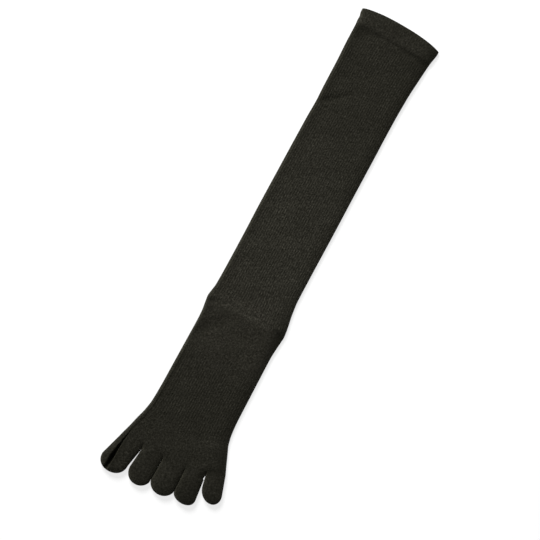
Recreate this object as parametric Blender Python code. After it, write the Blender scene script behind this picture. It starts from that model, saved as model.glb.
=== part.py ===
"""A knee-high toe sock in dark ribbed knit, lying flat on its instep side with the heel side up.

X runs across the sock, Y along it towards the cuff and Z up. Every length is in metres.
The heel's corners are at Y = 0 while the pieces are made, and an empty then centres the whole sock.
"""

import math
from collections import namedtuple

import bmesh
import bpy
import numpy as np

# Knit
WALL = 0.0015
WELT_WALL = 0.0020
SEAM_GAP = 0.0003

# Lengths along the sock
CUFF_HEIGHT = 0.0152
LEG_LENGTH = 0.310
HEEL_LENGTH = 0.040
FOOT_LENGTH = 0.127

# Widths across the flattened sock. The cuff and the heel are knitted on to the leg and follow it.
LEG_WIDTH = 0.079
CUFF_WIDTH = LEG_WIDTH * 1.114
HEEL_WIDTH = LEG_WIDTH * 1.094
FOOT_WIDTH = 0.083

# Thickness of the flattened sock, both walls and the hollow between them
CUFF_THICKNESS = 0.0112
LEG_THICKNESS = 0.0098
HEEL_THICKNESS = 0.0102
FOOT_THICKNESS = 0.0100

# The middle toe's pocket
TOE_WIDTH = 0.0240
TOE_LENGTH = 0.0302
TOE_THICKNESS = FOOT_THICKNESS * 1.06

# How far the middle of a curved cross line runs ahead of its ends, towards the cuff
TOP_EDGE_BOW = 0.0050
HEEL_BOW = 0.0075

# Roundness of the folded sides, and their height as a share of the middle's. A toe's are fuller.
SIDE_FOLD = 0.0046
SIDE_HEIGHT = 0.84
TOE_FOLD = 0.80
TOE_SIDE_HEIGHT = 0.95

# The longest step along a piece, and the points round each ring: underside, each side and top
RING_STEP = 0.019
Counts = namedtuple("Counts", "bottom side top")
TUBE_POINTS = Counts(5, 4, 13)
FOOT_POINTS = Counts(9, 4, 31)
TOE_POINTS = Counts(5, 7, 9)

# Toes from the big toe to the little one. Width, length and thickness are shares of the middle
# toe's, root is the share of a toe's own width at its root, and splay, in degrees, turns its tip
# away from the big toe.
Toe = namedtuple("Toe", "name width length root thickness splay")
TOES = (
    Toe("toe_big", 1.175, 1.210, 0.900, 1.055, -12.0),
    Toe("toe_second", 1.000, 1.065, 0.965, 1.000, -1.0),
    Toe("toe_middle", 1.000, 1.000, 1.000, 1.000, 1.0),
    Toe("toe_fourth", 0.933, 1.010, 0.930, 0.980, 5.5),
    Toe("toe_little", 0.845, 0.930, 0.895, 0.960, 16.0),
)

# The sock's outline: along is the share of the piece's length from its toe end, left and right are
# shares of half its width, height is a share of its thickness, bow a share of the heel's or edge's bow.
Row = namedtuple("Row", "along left right height bow")
CUFF_ROWS = (
    Row(0.00, 0.975, 0.950, 0.91, 0.00),
    Row(0.25, 0.990, 0.965, 0.95, 0.15),
    Row(0.70, 0.992, 0.985, 0.95, 0.65),
    Row(1.00, 0.997, 1.000, 0.92, 1.00),
)
LEG_ROWS = (
    Row(0.00, 1.084, 1.109, 1.10, 1.00),
    Row(0.02, 1.062, 1.099, 1.14, 1.00),
    Row(0.05, 1.026, 1.058, 1.02, 0.95),
    Row(0.09, 1.024, 1.008, 0.99, 0.70),
    Row(0.15, 1.026, 0.967, 0.98, 0.35),
    Row(0.23, 1.020, 0.966, 0.98, 0.10),
    Row(0.45, 1.038, 0.957, 1.00, 0.00),
    Row(0.66, 1.033, 0.949, 1.00, 0.00),
    Row(0.70, 1.030, 0.946, 0.99, 0.00),
    Row(0.73, 1.015, 0.944, 0.98, 0.00),
    Row(0.76, 1.025, 0.943, 0.99, 0.00),
    Row(0.80, 1.033, 0.943, 1.00, 0.00),
    Row(0.90, 1.058, 0.972, 1.00, 0.00),
    Row(0.97, 1.066, 1.020, 1.00, 0.00),
    Row(1.00, 1.072, 1.035, 0.98, 0.00),
)
HEEL_ROWS = (
    Row(0.00, 0.938, 0.978, 0.97, 0.00),
    Row(0.35, 0.938, 0.975, 0.98, 0.30),
    Row(0.70, 0.955, 0.992, 1.00, 0.70),
    Row(0.90, 0.975, 1.003, 0.96, 0.92),
    Row(1.00, 0.986, 1.010, 0.90, 1.00),
)

# The foot widens from its own edges to the outer toes: each flare is the share of that growth
# which the edge has reached, and lobes the share of the toes' swelling that shows on top.
FootRow = namedtuple("FootRow", "along left_flare right_flare height lobes")
FOOT_LEFT = 0.976
FOOT_RIGHT = 1.017
FOOT_ROWS = (
    FootRow(0.00, 0.00, 0.00, 0.99, 0.0),
    FootRow(0.46, 0.00, 0.04, 0.97, 0.0),
    FootRow(0.57, 0.04, 0.07, 0.97, 0.0),
    FootRow(0.65, 0.08, 0.12, 0.97, 0.0),
    FootRow(0.73, 0.22, 0.22, 0.98, 0.0),
    FootRow(0.81, 0.44, 0.42, 1.00, 0.05),
    FootRow(0.90, 0.68, 0.68, 1.02, 0.35),
    FootRow(0.96, 0.86, 0.86, 1.04, 0.75),
    FootRow(1.00, 1.00, 1.00, 1.05, 1.0),
)

# The line of the toe roots, from the big toe's outer side to the little toe's: how far each
# boundary between toes lies short of the furthest one, as shares of the foot's length.
ROOT_RISE = (0.031, 0.008, 0.000, 0.003, 0.067, 0.142)
ROOT_LEFT = 0.643

# Depth of the dip between two toes at the root, and a pocket's height at its root as a share of
# its full height. A toe turns from the root line to its own splay within the crease's reach.
TOE_DIP = 0.0024
TOE_ROOT_HEIGHT = 0.93
CREASE_REACH = 0.6

# The rounded tip: where it begins, its last ring's share of the width, how blunt it is, and how
# much of its narrowing also lifts it off the ground
TIP_START = 0.48
TIP_END = 0.30
TIP_POWER = 2.6
TIP_LIFT = 0.62
TOE_RINGS = (0.0, 0.12, 0.28, 0.46, 0.62, 0.76, 0.87, 0.95, 1.0)

# Valleys pressed into the upper side. The ends are shares: across of half the piece's width, along
# of its length. Depth and reach are shares of the deepest and widest valley, and start and end
# say how much of the depth each end keeps.
Valley = namedtuple("Valley", "from_across from_along to_across to_along depth reach start end")
VALLEY_DEPTH = 0.0030
VALLEY_REACH = 0.0060
LEG_VALLEYS = (
    Valley(-1.05, 0.712, -0.70, 0.742, 0.36, 0.90, 1.0, 0.9),
    Valley(-0.70, 0.742, -0.15, 0.822, 0.34, 1.00, 0.95, 0.0),
    Valley(-1.00, 0.890, 0.00, 0.886, 0.18, 1.20, 0.8, 0.2),
    Valley(-1.05, 0.243, -0.80, 0.238, 0.35, 0.80, 1.0, 0.2),
)
HEEL_VALLEYS = (
    Valley(-0.15, 0.82, -0.85, 0.15, 0.30, 1.30, 0.4, 1.0),
    Valley(-0.95, 0.99, 0.95, 0.99, 0.22, 0.80, 1.0, 0.5),
)
FOOT_VALLEYS = (
    Valley(-0.90, 0.10, -0.90, 0.70, 0.25, 0.55, 0.4, 0.8),
    Valley(-0.90, 0.70, -0.865, 1.02, 0.40, 0.60, 0.8, 1.6),
    Valley(0.70, 0.945, 0.88, 0.99, 0.50, 0.55, 1.0, 0.6),
)
BIG_TOE_VALLEYS = (
    Valley(-0.46, -0.05, -0.36, 0.50, 0.70, 0.50, 0.8, 1.0),
    Valley(-0.36, 0.50, -0.12, 0.98, 0.75, 0.62, 1.0, 0.8),
)
NO_VALLEYS = ()

KNIT_COLOUR = (0.021, 0.020, 0.0155, 1.0)
WELT_COLOUR = (0.020, 0.019, 0.0150, 1.0)
PLAIN_COLOUR = (0.019, 0.018, 0.0140, 1.0)
RIBBED_ROUGHNESS = 0.90
PLAIN_ROUGHNESS = 0.92
SHARP_EDGE = math.radians(50)


def clear_scene():
    for thing in list(bpy.data.objects):
        bpy.data.objects.remove(thing, do_unlink=True)


def knit_material(name, colour, roughness):
    """Matt knitted yarn."""
    material = bpy.data.materials.new(name)
    material.use_nodes = True
    shader = material.node_tree.nodes["Principled BSDF"]
    shader.inputs["Base Color"].default_value = colour
    shader.inputs["Roughness"].default_value = roughness
    shader.inputs["Metallic"].default_value = 0.0
    return material


def smooth_between(places, values, at):
    """A cubic curve through the values that never overshoots them."""
    slopes = np.diff(values) / np.diff(places)
    tangents = np.zeros(len(values))
    tangents[0], tangents[-1] = slopes[0], slopes[-1]
    for i in range(1, len(values) - 1):
        if slopes[i - 1] * slopes[i] > 0:
            tangents[i] = 2 * slopes[i - 1] * slopes[i] / (slopes[i - 1] + slopes[i])
    i = int(np.clip(np.searchsorted(places, at) - 1, 0, len(slopes) - 1))
    span = places[i + 1] - places[i]
    x = min(max((at - places[i]) / span, 0.0), 1.0)
    rising = x * x * (3 - 2 * x)
    ends = values[i] * (1 - rising) + values[i + 1] * rising
    turn = span * (tangents[i] * x * (1 - x) ** 2 - tangents[i + 1] * x * x * (1 - x))
    return float(ends + turn)


def column(rows, name, at):
    return smooth_between([r.along for r in rows], [getattr(r, name) for r in rows], at)


def ring_places(rows, length):
    """Shares along a piece: each row, and steps between rows that lie far apart."""
    places = []
    for low, high in zip(rows, rows[1:]):
        steps = max(1, math.ceil((high.along - low.along) * length / RING_STEP))
        places += [low.along + (high.along - low.along) * i / steps for i in range(steps)]
    return places + [rows[-1].along]


def valley_depth(valleys, across, along, half_width, length):
    """How far the upper wall is pressed down at one place. across and along are shares."""
    depth = 0.0
    for v in valleys:
        run_x = (v.to_across - v.from_across) * half_width
        run_y = (v.to_along - v.from_along) * length
        off_x = (across - v.from_across) * half_width
        off_y = (along - v.from_along) * length
        share = (off_x * run_x + off_y * run_y) / (run_x**2 + run_y**2)
        share = min(max(share, 0.0), 1.0)
        away = math.hypot(off_x - share * run_x, off_y - share * run_y)
        strength = v.start + (v.end - v.start) * share
        fade = math.exp(-((away / (v.reach * VALLEY_REACH)) ** 2))
        depth = max(depth, v.depth * VALLEY_DEPTH * strength * fade)
    return depth


Section = namedtuple("Section", "left right bottom top edge fold")


def crown(section, across):
    """Height of the top at one place across: the side folds' height at the sides, more between."""
    middle = (section.left + section.right) / 2
    reach = (section.right - section.left) / 2 - section.fold
    share = min(abs(across - middle) / reach, 1.0)
    return section.edge + (section.top - section.edge) * (1 + math.cos(math.pi * share)) / 2


def section_points(section, inset, pressed, counts):
    """One closed ring (across, height): the flat underside, a rounded side fold, the crowned top and
    the other side fold. inset is 0 outside the knit and the wall's thickness inside it. pressed
    gives how far the upper side is pushed down at one place across."""
    low, high = section.left + section.fold, section.right - section.fold
    middle = (section.bottom + section.edge) / 2
    fold_across = section.fold - inset
    fold_up = (section.edge - section.bottom) / 2 - inset
    side = [math.pi * i / counts.side for i in range(1, counts.side)]
    points = []
    for i in range(counts.bottom):
        points.append((low + (high - low) * i / (counts.bottom - 1), section.bottom + inset))
    for turn in side:
        points.append((high + fold_across * math.sin(turn), middle - fold_up * math.cos(turn)))
    for i in range(counts.top):
        across = high + (low - high) * i / (counts.top - 1)
        points.append((across, crown(section, across) - inset))
    for turn in side:
        points.append((low - fold_across * math.sin(turn), middle + fold_up * math.cos(turn)))
    shaped = []
    for across, up in points:
        share = max(up - middle, 0.0) / (section.top - inset - middle)
        shaped.append((across, up - pressed(across) * share))
    return shaped


def lofted(name, outer, inner, closed_tip, material):
    """A knitted wall: outer rings one way and inner rings back, joined at the open ends."""
    bm = bmesh.new()
    rings = []
    for ring in outer + inner[::-1]:
        rings.append([bm.verts.new(p) for p in ring])
    count = len(rings[0])
    last_outer = len(outer) - 1
    pairs = [(i, i + 1) for i in range(len(rings) - 1)] + [(len(rings) - 1, 0)]
    for a, b in pairs:
        if closed_tip and a == last_outer:
            continue
        for i in range(count):
            j = (i + 1) % count
            bm.faces.new((rings[a][i], rings[a][j], rings[b][j], rings[b][i]))
    if closed_tip:
        bm.faces.new(rings[last_outer])
        bm.faces.new(rings[last_outer + 1][::-1])
    bmesh.ops.recalc_face_normals(bm, faces=bm.faces)
    mesh = bpy.data.meshes.new(name)
    bm.to_mesh(mesh)
    bm.free()
    mesh.shade_smooth()
    mesh.set_sharp_from_angle(angle=SHARP_EDGE)
    mesh.materials.append(material)
    piece = bpy.data.objects.new(name, mesh)
    bpy.data.collections["Toe sock"].objects.link(piece)
    return piece


def tube_rings(rows, start, length, width, thickness, bow, valleys, inset):
    """Rings of an open tube whose cross lines bow towards the cuff."""
    rings = []
    half = width / 2
    for along in ring_places(rows, length):
        height = column(rows, "height", along) * thickness
        section = Section(
            -column(rows, "left", along) * half,
            column(rows, "right", along) * half,
            0.0,
            height,
            height * SIDE_HEIGHT,
            SIDE_FOLD,
        )
        middle = (section.left + section.right) / 2
        reach = (section.right - section.left) / 2
        line_bow = column(rows, "bow", along) * bow

        def pressed(across, along=along):
            return valley_depth(valleys, across / half, along, half, length)

        ring = []
        for across, up in section_points(section, inset, pressed, TUBE_POINTS):
            ahead = line_bow * (1 - min(abs(across - middle) / reach, 1.0) ** 2)
            ring.append((across, start + along * length + ahead, up))
        rings.append(ring)
    return rings


def tube(name, rows, start, length, width, thickness, bow, valleys, wall, material):
    outer = tube_rings(rows, start, length, width, thickness, bow, valleys, 0.0)
    inner = tube_rings(rows, start, length, width, thickness, bow, valleys, wall)
    return lofted(name, outer, inner, False, material)


def cuff(material):
    """The turned welt: a double wall whose top edge is a rounded fold."""
    start = LEG_LENGTH + SEAM_GAP
    sizes = (start, CUFF_HEIGHT, CUFF_WIDTH, CUFF_THICKNESS, TOP_EDGE_BOW, NO_VALLEYS)
    outer = tube_rings(CUFF_ROWS, *sizes, 0.0)
    inner = tube_rings(CUFF_ROWS, *sizes, WELT_WALL)
    fold = []
    for (ax, ay, az), (bx, by, bz) in zip(outer[-1], inner[-1]):
        fold.append(((ax + bx) / 2, (ay + by) / 2 + WELT_WALL / 2, (az + bz) / 2))
    return lofted("cuff", outer + [fold], inner, False, material)


def toe_boundaries():
    """Where each toe begins and ends across the sock, from the big toe's outer side."""
    at = -ROOT_LEFT * FOOT_WIDTH
    sides = []
    for toe in TOES:
        width = toe.width * toe.root * TOE_WIDTH
        sides.append((at, at + width))
        at += width + SEAM_GAP
    return sides


def root_line(across):
    """How far along the sock the toes begin, at one place across it."""
    sides = toe_boundaries()
    places = [sides[0][0]] + [right + SEAM_GAP / 2 for _, right in sides[:-1]] + [sides[-1][1]]
    rise = smooth_between(places, [share * FOOT_LENGTH for share in ROOT_RISE], across)
    return rise - HEEL_LENGTH - FOOT_LENGTH


def toe_swelling(across):
    """1 on the middle of each toe and 0 between two toes."""
    for left, right in toe_boundaries():
        if left <= across <= right:
            share = (2 * across - left - right) / (right - left)
            return math.sqrt(max(1 - share**2, 0.0))
    return 0.0


def foot_rings(inset):
    """Rings from the straight line at the heel to the line of the toe roots."""
    sides = toe_boundaries()
    half = FOOT_WIDTH / 2
    start = -HEEL_LENGTH - SEAM_GAP
    rings = []
    for along in ring_places(FOOT_ROWS, FOOT_LENGTH):
        left_flare = column(FOOT_ROWS, "left_flare", along)
        right_flare = column(FOOT_ROWS, "right_flare", along)
        height = column(FOOT_ROWS, "height", along) * FOOT_THICKNESS
        lobes = column(FOOT_ROWS, "lobes", along)
        section = Section(
            -FOOT_LEFT * half * (1 - left_flare) + sides[0][0] * left_flare,
            FOOT_RIGHT * half * (1 - right_flare) + sides[-1][1] * right_flare,
            0.0,
            height,
            height * SIDE_HEIGHT,
            SIDE_FOLD,
        )
        root_width = sides[-1][1] - sides[0][0]
        width = section.right - section.left

        def on_root(across, section=section, width=width):
            return sides[0][0] + (across - section.left) / width * root_width

        def pressed(across, section=section, width=width, along=along, lobes=lobes):
            dip = lobes * TOE_DIP * (1 - toe_swelling(on_root(across)))
            share = (across - (section.left + section.right) / 2) / (width / 2)
            valley = valley_depth(FOOT_VALLEYS, share, along, width / 2, FOOT_LENGTH)
            return max(dip, valley)

        ring = []
        for across, up in section_points(section, inset, pressed, FOOT_POINTS):
            end = root_line(on_root(across)) + SEAM_GAP / 2
            ring.append((across, start + along * (end - start), up))
        rings.append(ring)
    return rings


def foot(material):
    return lofted("foot", foot_rings(0.0), foot_rings(WALL), False, material)


def toe_rings(toe, left, right, valleys, inset):
    """Rings of one toe pocket, from its line on the foot to its rounded tip."""
    splay = math.radians(toe.splay)
    ahead = np.array((math.sin(splay), -math.cos(splay)))
    aside = np.array((math.cos(splay), math.sin(splay)))
    root_middle = (left + right) / 2
    root = np.array((root_middle, root_line(root_middle) - SEAM_GAP / 2))
    full_length = toe.length * TOE_LENGTH
    length = full_length - inset
    half_root = (right - left) / 2
    half_widest = toe.width * TOE_WIDTH / 2
    rings = []
    for along in TOE_RINGS:
        tip = max(along - TIP_START, 0.0) / (1 - TIP_START)
        rounding = (1 - (1 - TIP_END**2) * tip**TIP_POWER) ** 0.5
        widening = min(along / TIP_START, 1.0)
        widening = widening * widening * (3 - 2 * widening)
        half = (half_root + (half_widest - half_root) * widening) * rounding
        fullness = TOE_ROOT_HEIGHT + (1 - TOE_ROOT_HEIGHT) * widening
        height = toe.thickness * TOE_THICKNESS * fullness
        lift = height / 2 * TIP_LIFT * (1 - rounding)
        edge = lift + (height - 2 * lift) * TOE_SIDE_HEIGHT
        section = Section(-half, half, lift, height - lift, edge, half * TOE_FOLD)

        def pressed(across, along=along):
            return valley_depth(valleys, across / half_widest, along, half_widest, full_length)

        turned = min(along / CREASE_REACH, 1.0)
        ring = []
        for across, up in section_points(section, inset, pressed, TOE_POINTS):
            straight = root + ahead * along * length + aside * across
            on_line = root_middle + across
            on_root = root_line(min(max(on_line, left), right)) - SEAM_GAP / 2
            leaning = np.array((on_line, on_root)) + ahead * along * length
            place = leaning * (1 - turned) + straight * turned
            ring.append((place[0], place[1], up))
        rings.append(ring)
    return rings


def toe(shape, sides, valleys, material):
    left, right = sides
    outer = toe_rings(shape, left, right, valleys, 0.0)
    inner = toe_rings(shape, left, right, valleys, WALL)
    return lofted(shape.name, outer, inner, True, material)


def centred(pieces):
    """Hangs the pieces on an empty that puts the middle of the sock's underside at the origin."""
    corners = np.array([v.co for piece in pieces for v in piece.data.vertices])
    low, high = corners.min(axis=0), corners.max(axis=0)
    middle = bpy.data.objects.new("toe_sock", None)
    bpy.data.collections["Toe sock"].objects.link(middle)
    middle.location = (-(low[0] + high[0]) / 2, -(low[1] + high[1]) / 2, -low[2])
    for piece in pieces:
        piece.parent = middle


def main():
    clear_scene()
    bpy.context.scene.collection.children.link(bpy.data.collections.new("Toe sock"))
    ribbed = knit_material("ribbed knit", KNIT_COLOUR, RIBBED_ROUGHNESS)
    welt = knit_material("welt knit", WELT_COLOUR, RIBBED_ROUGHNESS)
    plain = knit_material("plain knit", PLAIN_COLOUR, PLAIN_ROUGHNESS)
    leg = (0.0, LEG_LENGTH, LEG_WIDTH, LEG_THICKNESS, HEEL_BOW, LEG_VALLEYS, WALL)
    heel_start = -HEEL_LENGTH
    heel_length = HEEL_LENGTH - SEAM_GAP
    heel = (heel_start, heel_length, HEEL_WIDTH, HEEL_THICKNESS, HEEL_BOW, HEEL_VALLEYS, WALL)
    pieces = [
        cuff(welt),
        tube("leg", LEG_ROWS, *leg, ribbed),
        tube("heel", HEEL_ROWS, *heel, plain),
        foot(ribbed),
    ]
    for shape, sides in zip(TOES, toe_boundaries()):
        valleys = BIG_TOE_VALLEYS if shape is TOES[0] else NO_VALLEYS
        pieces.append(toe(shape, sides, valleys, plain))
    centred(pieces)
    bpy.context.view_layer.update()


main()
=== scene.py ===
"""The knitted surface of a toe sock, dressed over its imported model.

Lengths are in metres. In the sock's own frame the heel's corners are at t = 0, t runs along the
sock towards the cuff, s runs across it from the big toe's side, and the ground is at height 0.
"""

import math
from collections import namedtuple

import bpy
import numpy as np
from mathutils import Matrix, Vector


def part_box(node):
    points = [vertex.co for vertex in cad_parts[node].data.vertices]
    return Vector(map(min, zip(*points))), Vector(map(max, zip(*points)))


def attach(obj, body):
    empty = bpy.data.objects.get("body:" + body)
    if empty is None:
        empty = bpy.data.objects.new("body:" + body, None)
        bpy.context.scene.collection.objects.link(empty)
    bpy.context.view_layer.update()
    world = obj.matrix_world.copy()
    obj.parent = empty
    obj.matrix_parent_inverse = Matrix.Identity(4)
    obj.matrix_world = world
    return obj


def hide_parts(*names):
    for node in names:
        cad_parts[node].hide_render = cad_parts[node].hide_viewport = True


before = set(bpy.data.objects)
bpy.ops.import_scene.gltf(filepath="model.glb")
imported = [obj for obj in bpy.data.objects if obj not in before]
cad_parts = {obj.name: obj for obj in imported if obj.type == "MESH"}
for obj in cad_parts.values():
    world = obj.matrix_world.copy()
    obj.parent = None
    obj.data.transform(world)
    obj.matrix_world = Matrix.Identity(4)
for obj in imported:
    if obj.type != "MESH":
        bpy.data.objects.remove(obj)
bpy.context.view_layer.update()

MM = 0.001


def table(name, columns, *rows):
    """Rows of values with named columns."""
    row = namedtuple(name, columns)
    return [row(*values) for values in rows]


# The leg's left heel corner and its top line, which place the sock's own frame in the model, and
# where the heel meets the foot
LEG_LEFT = -42.82 * MM
LEG_TOP = 310 * MM
HEEL_END = -40 * MM
leg_low, leg_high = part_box("leg")
ORIGIN_X = leg_low.x - LEG_LEFT
ORIGIN_Y = leg_high.y - LEG_TOP

# Knit: ribs run along the sock, half of them on the upper side. A rib is two wales wide.
UPPER_RIBS = 36
RIB_POINTS = 6
HALF = UPPER_RIBS * RIB_POINTS
WALL = 1.5 * MM
WELT_WALL = 2.0 * MM
COURSE = 1.05 * MM
RIB_DEPTH = 0.20 * MM
# A finer wave sharpens the ribs by this share, and no step along a ring counts as shorter
RIB_SHARPNESS = 0.18
SHORTEST = 1e-9

# The flattened tube: the height of its side folds as a share of the middle's, how high their
# outermost line lies as a share of that, how wide they turn under on the ground, how square the
# bow of its cross lines is, and how many points draw each fold and the crown between them
SIDE_HEIGHT = 0.95
SIDE_MIDDLE = 0.36
UNDER_FOLD = 4.0 * MM
BOW_POWER = 2.6
FOLD_POINTS = 24
CROWN_POINTS = 81

# How far, in millimetres, the outermost yarn stands past the outline that is measured below
FUZZ = 0.28

# The inside: the least gap between its two sides, how many walls thick a half has to be to give up
# a whole one, the most that it gives up, and how far inside the upper side it stays, in walls
INSIDE_GAP = 0.02 * MM
INSIDE_ROOM = 1.3
INSIDE_MOST = 0.75
INSIDE_DEPTH = 0.6

# How wide the upper side turns down at its two edges, and how far its left edge is rolled up, in
# millimetres, the roll's crest a little inside the edge. The shades are painted shade beside each
# edge, how much darker the knit is made there, and a negative one is a painted highlight.
FOLDS = table(
    "Fold", "t left right roll left_shade right_shade",
    (-167, 6.0, 9.0, 0.2, 0.20, 0.45),
    (-150, 5.0, 13.0, 0.4, 0.35, 0.70),
    (-130, 4.2, 15.0, 0.9, 0.40, 0.70),
    (-105, 4.0, 16.0, 1.0, 0.40, 0.44),
    (-60, 4.0, 16.0, 1.1, 0.40, 0.38),
    (-25, 4.0, 17.0, 0.8, 0.50, 0.60),
    (0, 4.4, 17.0, 0.5, 0.52, 0.62),
    (20, 4.0, 15.0, 0.8, 0.36, 0.32),
    (45, 4.0, 14.5, 1.2, 0.34, 0.18),
    (200, 4.0, 14.0, 1.2, 0.36, 0.18),
    (290, 4.2, 13.0, 1.1, 0.40, 0.34),
    (302, 5.0, 16.0, 0.6, 0.48, 0.50),
    (311, 6.0, 16.0, 0.2, 0.45, 0.60),
    (314, 9.0, 16.0, 0.0, -0.15, 0.74),
    (320, 9.0, 16.0, 0.0, -0.15, 0.76),
    (326, 6.0, 15.0, 0.0, 0.10, 0.76),
)
ROLL_INSIDE = 2.8 * MM
ROLL_REACH = 6.0 * MM

# Outline of the flattened sock in millimetres: the corner of a cross line, its two edges
EDGES = table(
    "Edge", "t left right",
    (-166, -53.9, 65.5),
    (-160, -52.3, 62.4),
    (-150, -49.3, 58.9),
    (-140, -46.7, 54.6),
    (-130, -43.8, 50.4),
    (-120, -41.7, 46.3),
    (-110, -41.0, 44.1),
    (-95, -40.6, 43.0),
    (-60, -40.5, 42.4),
    (-25, -40.5, 42.1),
    (-15, -40.9, 42.6),
    (-6, -42.2, 43.4),
    (0, -42.8, 43.8),
    (6, -42.0, 43.3),
    (14, -40.8, 42.0),
    (25, -40.5, 40.0),
    (40, -40.4, 38.5),
    (70, -40.5, 38.2),
    (110, -41.0, 38.1),
    (160, -41.0, 37.7),
    (205, -40.9, 37.5),
    (224, -40.4, 37.3),
    (240, -40.9, 37.3),
    (270, -41.3, 38.0),
    (290, -42.0, 39.5),
    (305, -42.2, 40.8),
    (310, -42.4, 41.4),
    (314, -42.8, 42.0),
    (318, -42.7, 42.8),
    (322, -43.7, 43.5),
    (325.8, -43.9, 43.7),
)

# Height of the sock's middle, how far its cross lines bow towards the cuff, how far their left end
# runs ahead of the middle, the ribs' strength, and the painted light and shade along the sock,
# with a painted highlight along the heel's crest
LINES = table(
    "Line", "t height bow tilt ribs tone",
    (-167, 10.4, 0.0, 0.0, 0.0, 0.64),
    (-150, 10.2, 0.0, 0.0, 0.0, 0.69),
    (-134, 10.0, 0.0, 0.0, 0.0, 0.76),
    (-128, 9.9, 0.0, 0.0, 0.9, 0.83),
    (-80, 9.8, 0.0, 0.0, 1.0, 0.94),
    (-55, 9.9, 0.0, 0.0, 0.6, 0.94),
    (-40, 9.9, 0.0, 0.0, 0.2, 0.92),
    (-28, 10.0, 2.2, 0.1, 0.0, 0.93),
    (-12, 10.3, 5.0, 0.6, 0.0, 0.90),
    (-6, 10.1, 6.4, 0.9, 0.0, 0.86),
    (-3.2, 9.8, 7.0, 1.0, 0.0, 0.89),
    (-1.6, 10.1, 7.2, 1.0, 0.2, 1.00),
    (0, 10.6, 7.3, 1.0, 0.6, 1.20),
    (3, 10.7, 7.4, 1.0, 0.9, 1.42),
    (7, 10.2, 7.3, 0.9, 0.9, 1.40),
    (11, 9.9, 7.2, 0.8, 1.0, 1.28),
    (17, 9.7, 6.9, 0.7, 1.0, 1.30),
    (28, 9.6, 5.2, 0.4, 1.0, 1.37),
    (46, 9.6, 2.6, 0.1, 1.0, 1.41),
    (75, 9.6, 0.8, 0.0, 1.0, 1.37),
    (140, 9.8, 0.0, 0.0, 1.0, 1.24),
    (200, 9.8, 0.0, 0.0, 1.0, 1.02),
    (250, 9.8, 0.0, 0.0, 1.0, 0.88),
    (295, 9.8, 0.0, 0.5, 1.0, 0.80),
    (304, 9.4, 0.0, 0.9, 0.9, 0.77),
    (308.5, 9.0, 0.0, 1.0, 0.6, 0.76),
    (310.2, 9.0, 0.0, 1.0, 0.4, 0.77),
    (311.4, 10.2, 0.4, 1.0, 0.35, 0.81),
    (314, 10.8, 1.2, 1.1, 0.35, 0.81),
    (320, 10.8, 2.9, 1.1, 0.35, 0.76),
    (323.5, 10.5, 3.9, 1.2, 0.3, 0.69),
    (325.8, 9.8, 4.4, 1.2, 0.2, 0.64),
)

# The toes' root line: the boundaries between toes across the sock, in millimetres, and where each
# one lies along it. The creases between the toes deepen towards it.
Root = namedtuple("Root", "s t")
ROOTS = (
    Root(-53.418, -163.1),
    Root(-27.9, -166.0),
    Root(-4.7, -167.0),
    Root(20.2, -166.6),
    Root(41.0, -158.5),
    Root(58.785, -149.0),
)
ROOT_SHARES = [(r.s - ROOTS[0].s) / (ROOTS[-1].s - ROOTS[0].s) for r in ROOTS]

# How many columns lie across each toe, which add up to half a ring of the tube, and what share of
# their spacing crowds them at the toe's sides
TOE_STEPS = (49, 45, 47, 40, 35)
SIDE_CROWDING = 0.65
# Between these two places the cross lines slant more and more, up to the root line
FLARE_START = -40
FLARE_END = -167
# How far the tube has turned into five lobes at each place
PINCHES = table(
    "Pinch", "t share",
    (-168, 1.0),
    (-166.6, 1.0),
    (-164.4, 0.74),
    (-162, 0.40),
    (-159, 0.16),
    (-155, 0.05),
    (-148, 0.0),
    (-100, 0.0),
)
# A lobe's side is this thick each way from its middle, which lies at this height at the root and
# at this share of the toe's height further on. The powers say how square it is above and below.
WAIST = 0.30 * MM
ROOT_MIDDLE = 4.6 * MM
TOE_MIDDLE = 0.44
PUFF_POWER = 2.0
SOLE_POWER = 3.6
# How blunt a toe's tip is from the side, over what share of its body the slant of its root line
# fades and the gap beside it opens, and how its height rises and its own painted light and shade
# set in: at each place from its root to its tip, the share that is there
TIP_POWER = 2.4
ROOT_FADE = 0.9
PARTING = 0.25
TOE_RISE = ((0, 0.5, 1), (0, 0.6, 1))
TOE_SET_IN = ((0, 0.5, 2), (0, 1, 1))

# The toe pockets in millimetres: where the rounded tip begins and the edges there, the tip, how
# blunt it is from above, the height at the root and in the middle, and the painted light and shade
# that it adds to the root's
POCKETS = table(
    "Pocket", "name body_t left right tip_s tip_t power root height tone",
    ("toe_big", -187.0, -60.6, -31.9, -46.6, -200.7, 2.4, 10.3, 11.3, 1.22),
    ("toe_second", -185.5, -29.9, -4.4, -17.0, -199.6, 2.3, 10.4, 11.1, 0.90),
    ("toe_middle", -183.5, -5.8, 21.5, 8.0, -197.6, 2.2, 10.4, 11.0, 1.0),
    ("toe_fourth", -184.0, 20.0, 44.0, 33.0, -194.4, 2.6, 10.2, 10.8, 0.62),
    ("toe_little", -169.0, 43.3, 65.5, 57.3, -181.4, 2.2, 9.8, 10.6, 0.90),
)

# Painted shade: how much darker the toes are made on their right flanks and at their tips, and over
# what width
FLANK_SHADE = 0.30
FLANK = 4.5 * MM
TIP_SHADE = 0.30
TIP = 6.0 * MM

# Neighbouring toes press on each other along lines from their boundary on the root line to these
# ends, with this gap between them
TOUCHES = (Root(-29.4, -177.0), Root(-5.1, -190.0), Root(20.8, -190.0), Root(40.3, -163.0))
TOUCH_GAP = 0.004 * MM

# Creases in the upper side, as lines of points in millimetres: place, depth, and half width. A
# steep crease has a flat floor and steep sides, and a negative depth is a ridge. shade is painted
# shade, how much darker the knit is made in the crease, and a negative shade is a painted highlight;
# how far past its half width that reaches is given by margin.
Dent = namedtuple("Dent", "s t depth reach")
Crease = namedtuple("Crease", "sides shade margin points")
SOFT, STEEP = 2, 8


def dented(sides, shade, margin, *points):
    """A crease through the given points."""
    return Crease(sides, shade, margin, [Dent(*point) for point in points])


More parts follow.
